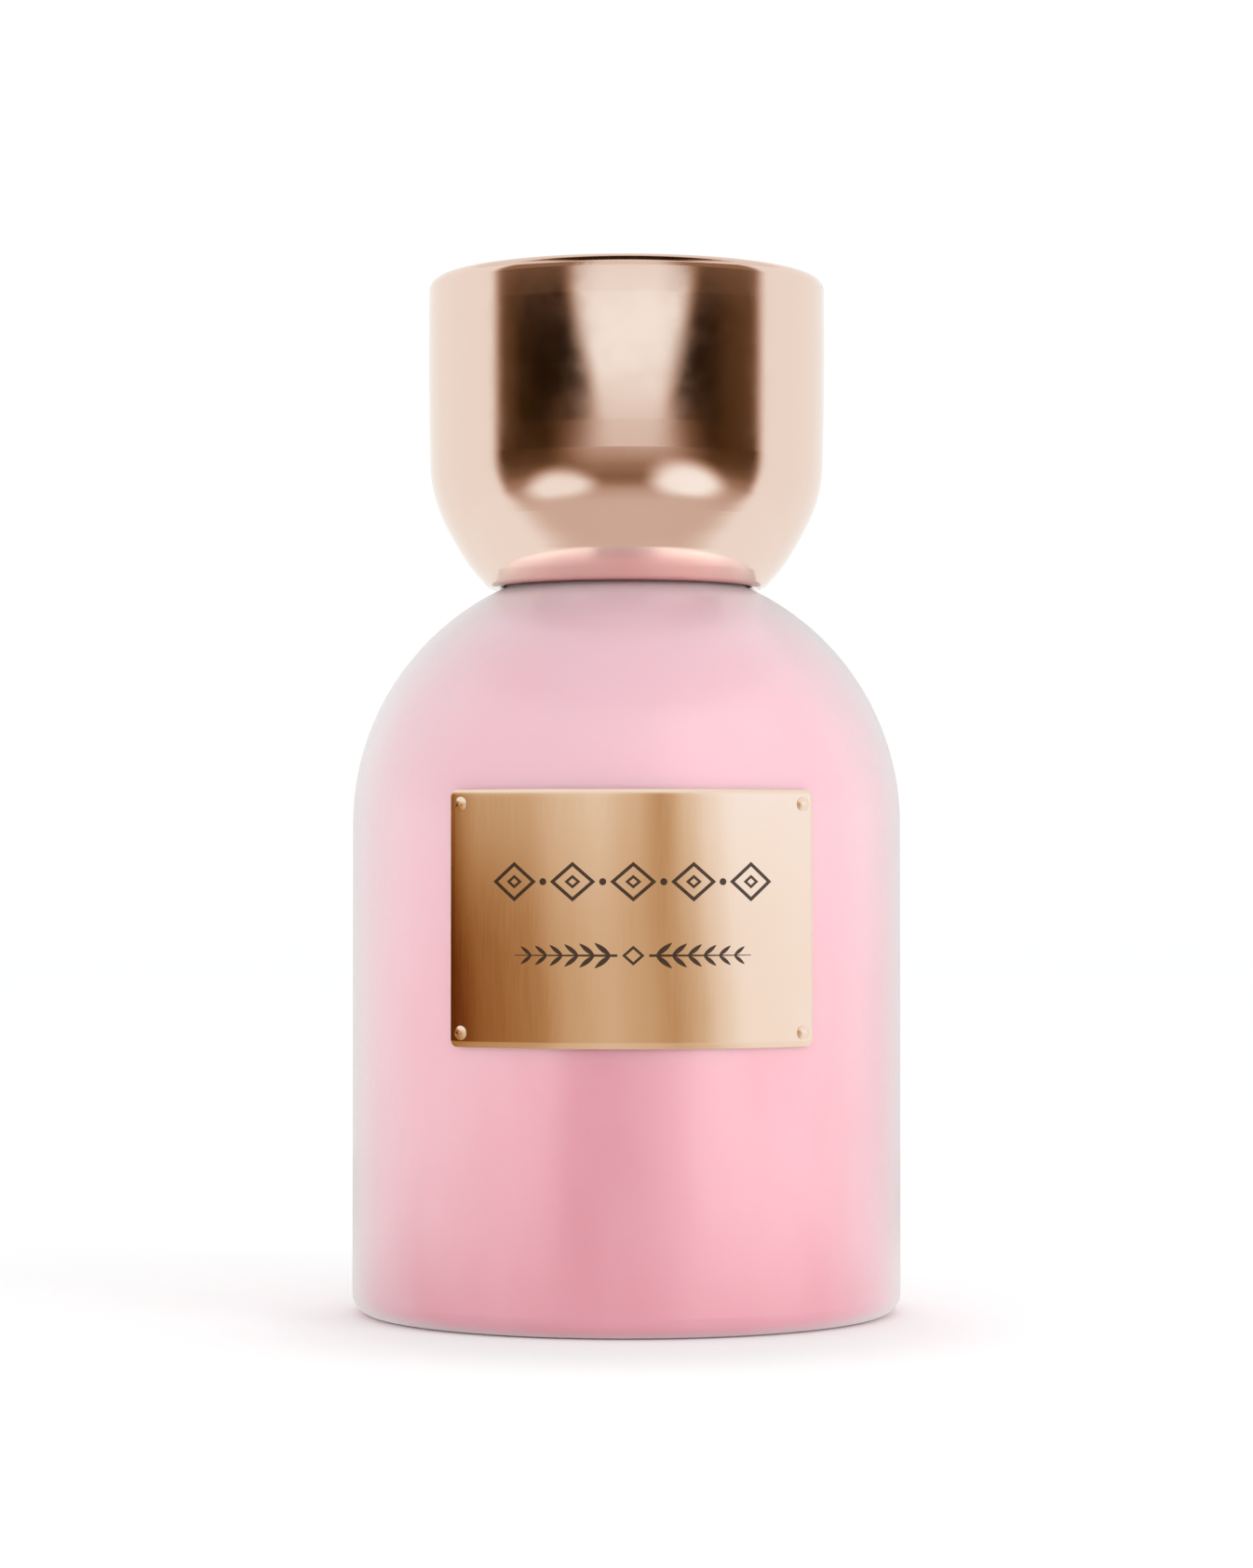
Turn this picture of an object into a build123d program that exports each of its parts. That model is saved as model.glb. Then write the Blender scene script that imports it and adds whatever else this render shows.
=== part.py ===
"""Perfume atomiser: glass bottle, crimped spray pump, actuator, collar, cap and riveted plate.

Millimetres, +Z up, origin on the bottle's axis in the plane it stands on, front towards -Y.
Every outline is a list of (radius, height, optional corner radius) turned about +Z.
"""
import os
from math import degrees

from build123d import *

# Bottle
BODY_R = 22.0
SHOULDER_Z = 39.1
SHOULDER_R = 20.85
HEEL_R = 1.6
WALL = 2.4
FLOOR_Z = 5.2
FLOOR_CORNER_R = 3.0
PUNT_R = 14.0
PUNT_DEPTH = 1.2
NECK_R = 6.5
BEAD_R = 7.5
NECK_BORE_R = 4.9
BEAD_ROOT_Z = 61.6
BEAD_LOW_Z = 62.5
NECK_TOP_Z = 65.4

# Stack clamped on the neck
GASKET_THICK = 0.7
FLANGE_THICK = 0.6
TURRET_FLANGE_THICK = 0.3
FERRULE_SHEET = 0.4
CLAMP_R = 7.2
FERRULE_GAP = 0.05
HOUSING_FLANGE_Z = NECK_TOP_Z + GASKET_THICK
TURRET_FLANGE_Z = HOUSING_FLANGE_Z + FLANGE_THICK
FERRULE_Z = TURRET_FLANGE_Z + TURRET_FLANGE_THICK
FERRULE_TOP_Z = FERRULE_Z + FERRULE_SHEET
FERRULE_IN_R = BEAD_R + FERRULE_GAP
FERRULE_OUT_R = FERRULE_IN_R + FERRULE_SHEET

# Pump
STROKE = 4.0
OUTLET_OPENS = 0.6
CHAMBER_R = 2.6
CHAMBER_LOW_Z = 46.6
CHAMBER_HIGH_Z = 62.0
HOUSING_R = 3.6
GUIDE_R = 4.4
RETAINER_BORE_R = 3.5
TURRET_SKIRT_R = 3.45
TURRET_R = 4.0
TURRET_TOP_Z = 69.0
SEAL_THICK = 0.6
STEM_R = 1.65
STEM_BORE_R = 0.6
STEM_SHOULDER_R = 2.3
STEM_LOW_Z = 61.0
STEM_TOP_Z = 76.55
ROD_R = 1.25
ROD_TOP_Z = 65.0
ROD_HEAD_R = 2.1
ROD_HEAD_LOW_Z = 54.3
ROD_HEAD_THICK = 1.0
PISTON_LOW_Z = 55.4
PISTON_HEIGHT = 3.0
PISTON_WAIST_R = 2.3
PISTON_LIP = 0.6
SLIDING_GAP = 0.03
STEM_GAP = 0.07
PRESS_GAP = 0.01
BALL_R = 1.0
BALL_LIFT = 0.8
BALL_POCKET_R = 1.15
NUB_HEIGHT = 0.35
INLET_R = 0.55
TUBE_R = 0.95
TUBE_BORE_R = 0.6
TUBE_SOCKET_LOW_Z = 38.4
TUBE_SOCKET_HIGH_Z = 42.4
TUBE_BEND_Z = 36.0
TUBE_BEND_R = 120.0
TUBE_BEND_DEG = 14.2

# Collar round the ferrule
COLLAR_R = 9.0
COLLAR_WALL = 0.4
COLLAR_LOW_Z = 58.6
COLLAR_TOP_Z = 72.2
COLLAR_MOUTH_R = 6.85
INSERT_LOW_Z = 59.2

# Actuator
ACTUATOR_R = 6.5
ACTUATOR_SHEET = 0.35
ACTUATOR_LOW_Z = FERRULE_TOP_Z + STROKE + 0.3
ACTUATOR_TOP_Z = 80.2
BUTTON_R = 6.1
BUTTON_SKIRT_IN_R = 5.3
BUTTON_ROOF_Z = 78.8
HUB_R = 2.9
HUB_LOW_Z = TURRET_TOP_Z + STROKE + 0.4
NOZZLE_Z = 77.2
NOZZLE_R = 1.5
NOZZLE_FACE = 6.35
NOZZLE_BACK = 3.5
ORIFICE_R = 0.15
POST_R = 0.9
CHANNEL_R = 0.35

# Cap
CAP_TOP_R = 15.92
CAP_TOP_Z = 82.95
CAP_TOP_EDGE_R = 1.0
CAP_BELLY_R = 15.99
CAP_BELLY_Z = 75.0
CAP_CROWN_R = 300.0
CAP_KNEE_R = 15.76
CAP_KNEE_Z = 65.45
CAP_KNEE_BEND_R = 11.0
CAP_FLANK_R = 13.98
CAP_FLANK_Z = 61.95
CAP_FLANK_BEND_R = 25.0
CAP_FOOT_R = 12.62
CAP_FOOT_Z = 59.75
CAP_FOOT_BEND_R = 9.0
CAP_RIM_R = 11.05
CAP_RIM_Z = 58.0
CAP_RIM_EDGE_R = 0.8
CAP_MOUTH_R = 10.15
CAP_SHEET = 0.7
CAP_HEM = 0.9
CAP_LIP = 0.1
CAP_ROOF = 0.95
CAP_FILL_GAP = 0.25
LINER_IN_R = 9.15
LINER_WALL = 0.85
LINER_LOW_Z = 58.8
LINER_CEILING_Z = 81.0
LINER_STOP_R = 8.0
LINER_STOP_Z = 72.4
WEIGHT_LOW_Z = 74.6

# Plate on the front
PLATE_ARC = 30.0
PLATE_LOW_Z = 21.9
PLATE_HIGH_Z = 41.5
PLATE_CORNER_R = 0.6
ADHESIVE_THICK = 0.12
ADHESIVE_INSET = 0.8
PLATE_THICK = 0.4
RIVET_INSET = 1.1
RIVET_HEAD_R = 0.55
RIVET_HEAD_RISE = 0.22
RIVET_SHANK_R = 0.3


def turned(*corners):
    """Solid turned about Z from its closed (r, z[, corner radius]) outline."""
    points = [(corner[0], 0, corner[1]) for corner in corners]
    rounding = [corner[2] if len(corner) > 2 else 0 for corner in corners]
    return revolve(make_face(FilletPolyline(*points, radius=rounding, close=True)), Axis.Z)


def drum(radius, low, high):
    """Upright cylinder on the Z axis between two heights."""
    return Pos(0, 0, (low + high) / 2) * Cylinder(radius, high - low)


def facing_front(shape, height):
    """Turn a shape made along +Z to point out of the front at the given height."""
    return Pos(0, 0, height) * Rot(90, 0, 0) * shape


def coil(mean_radius, wire_radius, low, high, turns):
    """Compression spring that fills the height between its two seats."""
    rise = high - low - 2 * wire_radius
    path = Pos(0, 0, low + wire_radius) * Helix(rise / turns, rise, mean_radius)
    section = Plane(origin=path @ 0, z_dir=path % 0) * Circle(wire_radius)
    return sweep(section, path=path, is_frenet=True)


def glass_bottle():
    dome_top = SHOULDER_Z + SHOULDER_R
    outside = turned((0, 0), (BODY_R, 0, HEEL_R), (BODY_R, dome_top, SHOULDER_R), (0, dome_top))
    neck = turned(
        (0, SHOULDER_Z), (NECK_R, SHOULDER_Z), (NECK_R, BEAD_ROOT_Z), (BEAD_R, BEAD_LOW_Z, 0.3),
        (BEAD_R, NECK_TOP_Z, 0.4), (0, NECK_TOP_Z),
    )
    room_r = BODY_R - WALL
    room_top = dome_top - WALL
    room = turned(
        (0, FLOOR_Z), (room_r, FLOOR_Z, FLOOR_CORNER_R),
        (room_r, room_top, SHOULDER_R - WALL), (0, room_top),
    )
    punt_sphere_r = (PUNT_R**2 + PUNT_DEPTH**2) / (2 * PUNT_DEPTH)
    punt = Pos(0, 0, PUNT_DEPTH - punt_sphere_r) * Sphere(punt_sphere_r)
    return outside + neck - room - drum(NECK_BORE_R, SHOULDER_Z, NECK_TOP_Z + 1) - punt


def neck_gasket():
    inner = NECK_BORE_R + 0.05
    return turned(
        (inner, NECK_TOP_Z), (CLAMP_R, NECK_TOP_Z),
        (CLAMP_R, HOUSING_FLANGE_Z), (inner, HOUSING_FLANGE_Z),
    )


def pump_housing():
    ball_z = ball_centre_z()
    seat_low_z = ball_z - BALL_R * 2**0.5 + INLET_R - 2 * SLIDING_GAP
    seat_high_z = seat_low_z + BALL_POCKET_R - INLET_R
    socket_r = TUBE_R + PRESS_GAP
    nose_r = TUBE_R * 2
    body = turned(
        (socket_r, TUBE_SOCKET_LOW_Z), (nose_r, TUBE_SOCKET_LOW_Z, 0.3),
        (nose_r, TUBE_SOCKET_HIGH_Z + 0.4), (HOUSING_R, seat_high_z + 0.6),
        (HOUSING_R, CHAMBER_HIGH_Z - 1.8), (GUIDE_R, CHAMBER_HIGH_Z - 1.0),
        (GUIDE_R, HOUSING_FLANGE_Z), (CLAMP_R, HOUSING_FLANGE_Z),
        (CLAMP_R, TURRET_FLANGE_Z), (RETAINER_BORE_R, TURRET_FLANGE_Z),
        (RETAINER_BORE_R, CHAMBER_HIGH_Z), (CHAMBER_R, CHAMBER_HIGH_Z),
        (CHAMBER_R, CHAMBER_LOW_Z), (BALL_POCKET_R, CHAMBER_LOW_Z),
        (BALL_POCKET_R, seat_high_z), (INLET_R, seat_low_z),
        (INLET_R, TUBE_SOCKET_HIGH_Z), (socket_r, TUBE_SOCKET_HIGH_Z),
    )
    for turn in range(3):
        nub = Pos(BALL_POCKET_R - 0.1, 0, CHAMBER_LOW_Z - NUB_HEIGHT / 2) * Box(0.5, 0.4, NUB_HEIGHT)
        body += Rot(0, 0, 120 * turn) * nub
    vent = Pos(GUIDE_R - 0.5, 0, CHAMBER_HIGH_Z + 2) * Rot(0, 90, 0) * Cylinder(0.3, 2.0)
    return body - vent


def ball_centre_z():
    """Height of the seated inlet ball, so that its lift ends just under the retaining nubs."""
    return CHAMBER_LOW_Z - NUB_HEIGHT - 0.1 - BALL_LIFT - BALL_R


def inlet_ball():
    return Pos(0, 0, ball_centre_z()) * Sphere(BALL_R)


def dip_tube():
    top = TUBE_SOCKET_HIGH_Z - 0.05
    bend = JernArc((0, TUBE_BEND_Z), (0, -1), TUBE_BEND_R, TUBE_BEND_DEG)
    path = Plane.XZ * (Line((0, top), (0, TUBE_BEND_Z)) + bend)
    section = Pos(0, 0, top) * (Circle(TUBE_R) - Circle(TUBE_BORE_R))
    return sweep(section, path=path)


def return_spring():
    return coil(1.95, 0.17, CHAMBER_LOW_Z, ROD_HEAD_LOW_Z, 6.5)


def precompression_spring():
    return coil(1.85, 0.14, PISTON_LOW_Z + PISTON_HEIGHT, STEM_LOW_Z, 4)


def piston():
    inner = ROD_R + SLIDING_GAP
    outer = CHAMBER_R - SLIDING_GAP
    top = PISTON_LOW_Z + PISTON_HEIGHT
    return turned(
        (inner, PISTON_LOW_Z), (outer, PISTON_LOW_Z), (outer, PISTON_LOW_Z + PISTON_LIP),
        (PISTON_WAIST_R, PISTON_LOW_Z + PISTON_LIP + 0.2), (PISTON_WAIST_R, top - PISTON_LIP - 0.2),
        (outer, top - PISTON_LIP), (outer, top), (inner, top),
    )


def plunger():
    shoulder = ROD_HEAD_LOW_Z + ROD_HEAD_THICK
    bore_r = 0.5
    port_r = 0.22
    port_z = PISTON_LOW_Z + OUTLET_OPENS - port_r
    rod = turned(
        (0, ROD_HEAD_LOW_Z), (ROD_HEAD_R, ROD_HEAD_LOW_Z, 0.2), (ROD_HEAD_R, shoulder),
        (ROD_R, shoulder), (ROD_R, ROD_TOP_Z), (bore_r, ROD_TOP_Z),
        (bore_r, port_z - port_r / 2), (0, port_z - port_r / 2),
    )
    port = Pos(0, 0, port_z) * Rot(0, 90, 0) * Cylinder(port_r, 2 * ROD_R + 1)
    return rod - port


def stem():
    socket_r = ROD_R + PRESS_GAP
    shoulder_top = CHAMBER_HIGH_Z - 0.1
    return turned(
        (socket_r, STEM_LOW_Z), (STEM_SHOULDER_R, STEM_LOW_Z), (STEM_SHOULDER_R, shoulder_top),
        (STEM_R, shoulder_top), (STEM_R, STEM_TOP_Z, 0.2), (STEM_BORE_R, STEM_TOP_Z),
        (STEM_BORE_R, ROD_TOP_Z + 0.1), (socket_r, ROD_TOP_Z + 0.1),
    )


def stem_seal():
    inner = STEM_R + SLIDING_GAP
    top = CHAMBER_HIGH_Z + SEAL_THICK
    return turned(
        (inner, CHAMBER_HIGH_Z), (TURRET_SKIRT_R, CHAMBER_HIGH_Z), (TURRET_SKIRT_R, top), (inner, top)
    )


def turret():
    inner = STEM_R + STEM_GAP
    low = CHAMBER_HIGH_Z + SEAL_THICK
    return turned(
        (inner, low), (TURRET_SKIRT_R, low), (TURRET_SKIRT_R, TURRET_FLANGE_Z),
        (CLAMP_R, TURRET_FLANGE_Z), (CLAMP_R, FERRULE_Z), (TURRET_R, FERRULE_Z),
        (TURRET_R, TURRET_TOP_Z, 0.4), (inner, TURRET_TOP_Z, 0.2),
    )


def crimp_ferrule():
    """Aluminium cup over the clamped stack, its hem rolled in under the bead."""
    hole_r = TURRET_R + 0.15
    hem_in_r = 6.85
    return turned(
        (hole_r, FERRULE_Z), (FERRULE_IN_R, FERRULE_Z), (FERRULE_IN_R, BEAD_LOW_Z - 0.05),
        (hem_in_r, BEAD_ROOT_Z + 0.22), (hem_in_r + 0.25, BEAD_ROOT_Z - 0.15),
        (FERRULE_OUT_R, BEAD_LOW_Z - 0.25, 0.4), (FERRULE_OUT_R, FERRULE_TOP_Z, 0.35),
        (hole_r, FERRULE_TOP_Z),
    )


def collar_insert():
    inner = FERRULE_OUT_R + 0.05
    outer = COLLAR_R - COLLAR_WALL - 0.05
    lip_z = FERRULE_TOP_Z + 0.05
    lip_r = COLLAR_MOUTH_R + 0.05
    return turned(
        (inner, INSERT_LOW_Z), (outer, INSERT_LOW_Z), (outer, lip_z + 0.6, 0.2),
        (lip_r, lip_z + 0.6), (lip_r, lip_z), (inner, lip_z),
    )


def decor_collar():
    inner = COLLAR_R - COLLAR_WALL
    flange_low = COLLAR_TOP_Z - COLLAR_WALL
    return turned(
        (inner, COLLAR_LOW_Z), (COLLAR_R, COLLAR_LOW_Z, 0.15), (COLLAR_R, COLLAR_TOP_Z, 0.5),
        (COLLAR_MOUTH_R, COLLAR_TOP_Z, 0.15), (COLLAR_MOUTH_R, flange_low), (inner, flange_low, 0.15),
    )


def actuator_shell():
    inner = ACTUATOR_R - ACTUATOR_SHEET
    ceiling = ACTUATOR_TOP_Z - ACTUATOR_SHEET
    cup = turned(
        (inner, ACTUATOR_LOW_Z), (ACTUATOR_R, ACTUATOR_LOW_Z, 0.15),
        (ACTUATOR_R, ACTUATOR_TOP_Z, 0.8), (0, ACTUATOR_TOP_Z), (0, ceiling), (inner, ceiling, 0.45),
    )
    return cup - facing_front(drum(NOZZLE_R + 0.2, NOZZLE_BACK, ACTUATOR_R + 1), NOZZLE_Z)


def actuator_button():
    roof_top = ACTUATOR_TOP_Z - ACTUATOR_SHEET - 0.05
    skirt_low = ACTUATOR_LOW_Z + 0.3
    body = turned(
        (0, HUB_LOW_Z), (HUB_R, HUB_LOW_Z), (HUB_R, BUTTON_ROOF_Z), (BUTTON_SKIRT_IN_R, BUTTON_ROOF_Z),
        (BUTTON_SKIRT_IN_R, skirt_low), (BUTTON_R, skirt_low), (BUTTON_R, roof_top, 0.45), (0, roof_top),
    )
    boss_low = NOZZLE_Z - NOZZLE_R - 0.7
    boss = Pos(0, -BUTTON_R / 2 - 1, (boss_low + BUTTON_ROOF_Z) / 2)
    boss *= Box(2 * NOZZLE_R + 1.6, BUTTON_R - 2, BUTTON_ROOF_Z - boss_low + 0.4)
    body += boss & drum(BUTTON_R, boss_low, roof_top)
    post_end = NOZZLE_FACE - 1.15
    pocket = drum(NOZZLE_R + 0.02, NOZZLE_BACK - 0.1, ACTUATOR_R) - drum(POST_R, 0, post_end)
    body -= facing_front(pocket, NOZZLE_Z)
    body -= facing_front(drum(CHANNEL_R, 0, post_end + 1), NOZZLE_Z)
    body -= drum(STEM_R + PRESS_GAP, HUB_LOW_Z - 1, STEM_TOP_Z + 0.05)
    return body - drum(POST_R, STEM_TOP_Z - 1, NOZZLE_Z + CHANNEL_R)


def nozzle_insert():
    """Cup pressed over the post: conical mouth outside, orifice through its face."""
    cup_r = POST_R + 0.05
    face_in = NOZZLE_FACE - 1.0
    throat = NOZZLE_FACE - 0.45
    cup = turned(
        (cup_r, NOZZLE_BACK), (NOZZLE_R, NOZZLE_BACK), (NOZZLE_R, NOZZLE_FACE, 0.15),
        (POST_R, NOZZLE_FACE), (ORIFICE_R, throat), (ORIFICE_R, face_in), (cup_r, face_in),
    )
    return facing_front(cup, NOZZLE_Z)


def inward(lower, upper, gap):
    """The line through two (r, z) points, as a point and a run, moved by gap towards the axis."""
    run_r = upper[0] - lower[0]
    run_z = upper[1] - lower[1]
    length = (run_r**2 + run_z**2) ** 0.5
    return lower[0] - gap * run_z / length, lower[1] + gap * run_r / length, run_r, run_z


def crossing(first, second):
    """Where two such lines meet."""
    r1, z1, dr1, dz1 = first
    r2, z2, dr2, dz2 = second
    along = ((r2 - r1) * dz2 - (z2 - z1) * dr2) / (dr1 * dz2 - dz1 * dr2)
    return r1 + along * dr1, z1 + along * dz1


def cap_shell():
    """Drawn metal shell with a slightly crowned side, necked in below its knee to a hemmed rim."""
    side = [
        (CAP_RIM_R, CAP_RIM_Z, CAP_RIM_EDGE_R), (CAP_FOOT_R, CAP_FOOT_Z, CAP_FOOT_BEND_R),
        (CAP_FLANK_R, CAP_FLANK_Z, CAP_FLANK_BEND_R), (CAP_KNEE_R, CAP_KNEE_Z, CAP_KNEE_BEND_R),
        (CAP_BELLY_R, CAP_BELLY_Z, CAP_CROWN_R), (CAP_TOP_R, CAP_TOP_Z, CAP_TOP_EDGE_R),
    ]
    ceiling = CAP_TOP_Z - CAP_ROOF
    hem_z = CAP_RIM_Z + CAP_HEM
    inner = [inward(lower, upper, CAP_SHEET) for lower, upper in zip(side, side[1:])]
    lining = [
        (*crossing(one, two), corner[2] - CAP_SHEET) for one, two, corner in zip(inner, inner[1:], side[1:])
    ]
    return turned(
        (CAP_MOUTH_R, CAP_RIM_Z + CAP_LIP, 0.2), *side, (0, CAP_TOP_Z), (0, ceiling),
        (*crossing(inner[-1], (0, ceiling, 1, 0)), CAP_TOP_EDGE_R / 2), *reversed(lining),
        crossing(inner[0], (0, hem_z, 1, 0)), (CAP_MOUTH_R, hem_z, 0.2),
    )


def cap_liner():
    """Moulded sleeve that slides over the collar, stopped by a step on the collar's top."""
    outer = LINER_IN_R + LINER_WALL
    upper_out = LINER_STOP_R + LINER_WALL
    plate_r = CAP_TOP_R - CAP_SHEET - CAP_FILL_GAP
    plate_top = CAP_TOP_Z - CAP_ROOF - 0.05
    step_top = LINER_STOP_Z + LINER_WALL
    return turned(
        (LINER_IN_R + 0.3, LINER_LOW_Z), (outer, LINER_LOW_Z), (outer, step_top),
        (upper_out, step_top), (upper_out, LINER_CEILING_Z), (plate_r, LINER_CEILING_Z),
        (plate_r, plate_top, 0.5), (0, plate_top), (0, LINER_CEILING_Z),
        (LINER_STOP_R, LINER_CEILING_Z), (LINER_STOP_R, LINER_STOP_Z),
        (LINER_IN_R, LINER_STOP_Z), (LINER_IN_R, LINER_LOW_Z + 0.6),
    )


def cap_weight():
    inner = LINER_STOP_R + LINER_WALL + 0.1
    outer = CAP_TOP_R - CAP_SHEET - CAP_FILL_GAP
    top = LINER_CEILING_Z - 0.05
    return turned(
        (inner, WEIGHT_LOW_Z, 0.3), (outer, WEIGHT_LOW_Z, 0.3), (outer, top, 0.3), (inner, top, 0.3)
    )


def front_patch(inner, thick, arc, low, high, corner_r):
    """Curved sheet on the front of the barrel, with its arc measured on its outer face."""
    outer = inner + thick
    angle = degrees(arc / outer)
    corners = ((inner, 0, low), (outer, 0, low), (outer, 0, high), (inner, 0, high))
    sheet = revolve(make_face(Polyline(*corners, close=True)), Axis.Z, angle)
    edges = [edge for edge in sheet.edges() if abs(edge.length - thick) < thick / 100]
    return Rot(0, 0, -90 - angle / 2) * fillet(edges, corner_r)


def rivet_places():
    """Rotations and heights of the four rivets, one in each corner of the plate."""
    face_r = BODY_R + ADHESIVE_THICK + PLATE_THICK
    swing = degrees((PLATE_ARC / 2 - RIVET_INSET) / face_r)
    heights = (PLATE_LOW_Z + RIVET_INSET, PLATE_HIGH_Z - RIVET_INSET)
    return [(side * swing, height) for side in (-1, 1) for height in heights]


def name_plate():
    inner = BODY_R + ADHESIVE_THICK
    plate = front_patch(inner, PLATE_THICK, PLATE_ARC, PLATE_LOW_Z, PLATE_HIGH_Z, PLATE_CORNER_R)
    hole = drum(RIVET_SHANK_R + PRESS_GAP, BODY_R - 1, BODY_R + 2)
    for swing, height in rivet_places():
        plate -= Rot(0, 0, swing) * facing_front(hole, height)
    return plate


def plate_adhesive():
    arc = PLATE_ARC - 2 * (RIVET_INSET + ADHESIVE_INSET)
    low = PLATE_LOW_Z + ADHESIVE_INSET
    high = PLATE_HIGH_Z - ADHESIVE_INSET
    return front_patch(BODY_R, ADHESIVE_THICK, arc, low, high, PLATE_CORNER_R)


def plate_rivets():
    """Four domed rivets; each shank ends just short of the glass."""
    face_r = BODY_R + ADHESIVE_THICK + PLATE_THICK
    dome_r = (RIVET_HEAD_R**2 + RIVET_HEAD_RISE**2) / (2 * RIVET_HEAD_RISE)
    dome = Pos(0, 0, face_r + RIVET_HEAD_RISE - dome_r) * Sphere(dome_r)
    head = dome & drum(RIVET_HEAD_R + 1, face_r, face_r + 1)
    rivet = head + drum(RIVET_SHANK_R, BODY_R + ADHESIVE_THICK, face_r)
    return Compound([Rot(0, 0, swing) * facing_front(rivet, z) for swing, z in rivet_places()])


PIECES = (
    glass_bottle, neck_gasket, pump_housing, inlet_ball, dip_tube, return_spring,
    precompression_spring, piston, plunger, stem, stem_seal, turret, crimp_ferrule,
    collar_insert, decor_collar, actuator_shell, actuator_button, nozzle_insert,
    cap_shell, cap_liner, cap_weight, name_plate, plate_adhesive, plate_rivets,
)

os.makedirs("parts", exist_ok=True)
for piece in PIECES:
    export_step(piece(), f"parts/{piece.__name__}.step")
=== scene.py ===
import math

import bpy
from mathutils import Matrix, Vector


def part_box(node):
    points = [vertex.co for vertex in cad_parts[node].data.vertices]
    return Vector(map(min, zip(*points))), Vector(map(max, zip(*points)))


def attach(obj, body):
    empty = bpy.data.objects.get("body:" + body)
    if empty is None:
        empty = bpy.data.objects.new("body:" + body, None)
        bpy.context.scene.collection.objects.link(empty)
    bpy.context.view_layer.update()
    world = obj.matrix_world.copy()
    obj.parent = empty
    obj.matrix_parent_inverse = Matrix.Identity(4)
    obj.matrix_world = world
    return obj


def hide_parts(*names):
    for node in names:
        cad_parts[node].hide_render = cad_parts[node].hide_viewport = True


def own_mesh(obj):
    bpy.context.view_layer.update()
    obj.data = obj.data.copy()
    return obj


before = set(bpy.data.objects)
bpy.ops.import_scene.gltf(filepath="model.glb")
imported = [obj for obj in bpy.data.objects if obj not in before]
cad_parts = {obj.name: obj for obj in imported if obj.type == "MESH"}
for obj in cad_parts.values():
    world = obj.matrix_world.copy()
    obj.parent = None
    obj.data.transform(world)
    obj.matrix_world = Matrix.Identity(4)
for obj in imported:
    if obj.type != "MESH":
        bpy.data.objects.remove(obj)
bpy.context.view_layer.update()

MM = 0.001

# ---------------------------------------------------------------- camera
CAMERA_DISTANCE = 332.0 * MM
CAMERA_HEIGHT = 35.5 * MM
CAMERA_TURN = math.radians(1.3)
CAMERA_LENS = 94.6
SENSOR_WIDTH = 36.0
AIM_HEIGHT = 42.3 * MM

# ---------------------------------------------------------------- metal and glass
ROSE = (0.84, 0.64, 0.55)
GOLD = (0.88, 0.70, 0.56)
PINK_LOW = (0.71, 0.30, 0.36)
PINK_HIGH = (0.72, 0.44, 0.505)
PINK_CLOUD = (0.84, 0.50, 0.56)
# Colour the glass is whitened to where it is seen edge on: a painted sheen of the bright surroundings.
FROST_EDGE_PAINTED_SHEEN = (0.71, 0.665, 0.67)
FROST_SHEEN = (1.0, 0.93, 0.94, 1.0)
METAL_STAIN = (0.5, 0.3, 0.2)
GOLD_BROWNER_TONE = (0.80, 0.52, 0.30)
PLASTIC = (0.80, 0.79, 0.76)
PLASTIC_STAIN = (0.6, 0.58, 0.55)

# ---------------------------------------------------------------- front plate
PLATE_BEVEL = 0.55 * MM
PLATE_DROP = 0.20 * MM
PLATE_CORNER = 0.60 * MM
PLATE_THICKNESS = 0.40 * MM
PLATE_RIM = 1.4 * MM
RIM_STEPS = 14
STEPS_ACROSS = 72
STEPS_UP = 30
SHARP_EDGE = math.radians(60)
INLAY_LIFT = 0.012 * MM
INLAY_DEPTH = 0.05 * MM

# ornament on the plate, in millimetres from its centre
BAND_HEIGHT = 2.8
BAND_PITCH = 4.6
BAND_LOZENGE = (1.75, 1.5, 0.26)
BAND_CENTRE = (0.62, 0.52, 0.20)
BAND_DOT = 0.27
SPRIG_HEIGHT = -2.75
SPRIG_LOZENGE = (0.85, 0.75, 0.20)
SPRIG_START = 1.2
SPRIG_END = 9.2
SPRIG_STEM = (0.20, 0.06)
LEAF_PAIRS = 6
LEAF_FIRST = 1.7
LEAF_PITCH = 1.22
LEAF_LENGTH = 1.55
LEAF_WIDTH = 0.21
LEAF_SHRINK = 0.06
LEAF_LEAN = math.radians(38)
LEAF_TIP = 0.012

# ---------------------------------------------------------------- floor and lights
WORLD_STRENGTH = 1.02
FLOOR_HALF = 1.5
FLOOR_PAPER = (0.775, 0.785, 0.785, 1.0)
# Within these distances of a point just in front of the bottle's axis the floor's glow is lowered: a painted
# shadow round the bottle's foot.
FLOOR_PAINTED_SHADOW_CENTRE = (0.0, -14.0 * MM, 0.0)
FLOOR_PAINTED_SHADOW_REACH = (14.0 * MM, 34.0 * MM)
FLOOR_GLOW_IN_PAINTED_SHADOW = 0.07
FLOOR_GLOW_FAR = 0.205
BACK_LIGHT = {"place": (0.0, 0.16, 0.38), "aim": (0.0, 0.0, 0.0), "size": (0.25, 0.25), "power": 0.03}
KEY_LIGHT = {"place": (0.34, -0.30, 0.16), "aim": (0.0, 0.0, 0.035), "size": (0.20, 0.30), "power": 0.55}

# ---------------------------------------------------------------- studio seen in the reflections
# Lengths are in millimetres and azimuths in degrees from the front, positive to the right.
STUDIO_RADIUS = 180.0
STUDIO_ROOF = 230.0
STUDIO_STEP = 2
TABLE_STEP = 4
ROOF_STEPS = 21
STUDIO_TURNS = 360

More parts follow.
